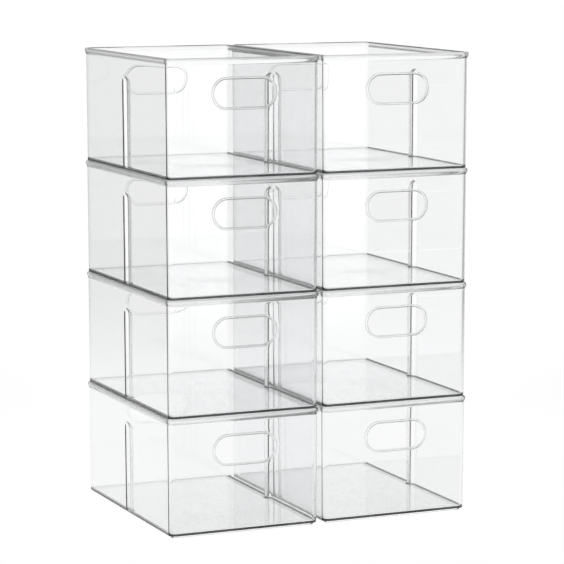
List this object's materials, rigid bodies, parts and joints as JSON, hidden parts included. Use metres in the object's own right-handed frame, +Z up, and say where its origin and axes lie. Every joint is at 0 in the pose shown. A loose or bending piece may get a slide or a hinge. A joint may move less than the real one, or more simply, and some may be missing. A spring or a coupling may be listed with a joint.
{
  "type": "stack of clear shoe bins",
  "caption": "Clear open-top plastic bins with handle slots in both ends, stacked in two columns, for keeping shoes.",
  "frame": {"origin": "on the ground, under the middle of the whole stack", "axes": "+Z up; X across the two columns, +X to the right seen from the front; -Y is the front, where a short end with a handle slot faces"},
  "size_m": [0.4206, 0.3122, 0.6025],
  "materials": {
    "clear_plastic": "clear, colourless, polished injection-moulded plastic"
  },
  "bodies": {
    "bin_left_1": {"bin_left_1": "clear_plastic"},
    "bin_left_2": {"bin_left_2": "clear_plastic"},
    "bin_left_3": {"bin_left_3": "clear_plastic"},
    "bin_left_4": {"bin_left_4": "clear_plastic"},
    "bin_right_1": {"bin_right_1": "clear_plastic"},
    "bin_right_2": {"bin_right_2": "clear_plastic"},
    "bin_right_3": {"bin_right_3": "clear_plastic"},
    "bin_right_4": {"bin_right_4": "clear_plastic"}
  },
  "joints": [
    {"name": "left_2_lift", "type": "slide", "parent": "bin_left_1", "child": "bin_left_2", "axis": [0, 0, 1], "range_m": [0, 0.12]},
    {"name": "left_3_lift", "type": "slide", "parent": "bin_left_2", "child": "bin_left_3", "axis": [0, 0, 1], "range_m": [0, 0.12]},
    {"name": "left_4_lift", "type": "slide", "parent": "bin_left_3", "child": "bin_left_4", "axis": [0, 0, 1], "range_m": [0, 0.12]},
    {"name": "right_2_lift", "type": "slide", "parent": "bin_right_1", "child": "bin_right_2", "axis": [0, 0, 1], "range_m": [0, 0.12]},
    {"name": "right_3_lift", "type": "slide", "parent": "bin_right_2", "child": "bin_right_3", "axis": [0, 0, 1], "range_m": [0, 0.12]},
    {"name": "right_4_lift", "type": "slide", "parent": "bin_right_3", "child": "bin_right_4", "axis": [0, 0, 1], "range_m": [0, 0.12]},
    {"name": "right_column_slide", "type": "slide", "parent": "bin_left_1", "child": "bin_right_1", "axis": [1, 0, 0], "range_m": [0, 0.25]}
  ]
}
